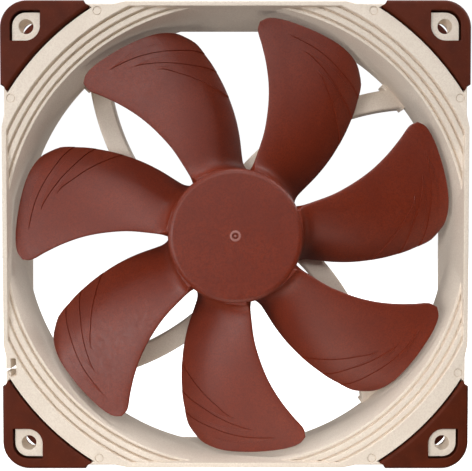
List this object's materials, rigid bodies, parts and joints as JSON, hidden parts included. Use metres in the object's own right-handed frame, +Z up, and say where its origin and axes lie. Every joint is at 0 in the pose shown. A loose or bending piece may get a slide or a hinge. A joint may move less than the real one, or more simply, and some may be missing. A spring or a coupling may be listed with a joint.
{
  "type": "case fan",
  "caption": "Square-framed axial cooling fan with soft corner pads, a stepped round inlet, curved rear struts and a swept-blade impeller on a central motor hub.",
  "frame": {"origin": "centre of the overall box, on the impeller's axis at half the fan's depth", "axes": "+Z up with the fan standing on its edge, -Y the way the air comes from, so the stepped inlet side faces -Y, +X to the right seen from the inlet side"},
  "size_m": [0.14, 0.025, 0.14],
  "materials": {
    "frame_plastic": "satin",
    "pad_silicone": "matte",
    "impeller_plastic": "satin",
    "steel": "satin",
    "magnet": "matte",
    "brass": "satin",
    "bronze": "matte",
    "lamination": "satin",
    "insulator_plastic": "matte",
    "copper": "satin",
    "board": "matte",
    "black_plastic": "matte",
    "capacitor": "matte",
    "label": "matte"
  },
  "bodies": {
    "housing": {"frame": "frame_plastic", "front_pad_upper_right": "pad_silicone", "front_pad_upper_left": "pad_silicone", "front_pad_lower_left": "pad_silicone", "front_pad_lower_right": "pad_silicone", "rear_pad_upper_right": "pad_silicone", "rear_pad_upper_left": "pad_silicone", "rear_pad_lower_left": "pad_silicone", "rear_pad_lower_right": "pad_silicone", "bearing_housing": "brass", "oil_seal": "black_plastic", "bearing_sleeve": "bronze", "bearing_magnet": "magnet", "thrust_plate": "insulator_plastic", "stator_core": "lamination", "front_insulator": "insulator_plastic", "rear_insulator": "insulator_plastic", "coil_1": "copper", "coil_2": "copper", "coil_3": "copper", "coil_4": "copper", "circuit_board": "board", "driver_chip": "black_plastic", "hall_sensor": "black_plastic", "capacitor": "capacitor", "terminal_pin_1": "steel", "terminal_pin_2": "steel", "terminal_pin_3": "steel", "rear_label": "label"},
    "rotor": {"impeller": "impeller_plastic", "rotor_yoke": "steel", "rotor_magnet": "magnet", "shaft": "steel", "shaft_bush": "brass"}
  },
  "joints": [
    {"name": "rotor_spin", "type": "hinge", "parent": "housing", "child": "rotor", "pos_m": [0, 0, 0], "axis": [0, -1, 0], "continuous": true}
  ]
}
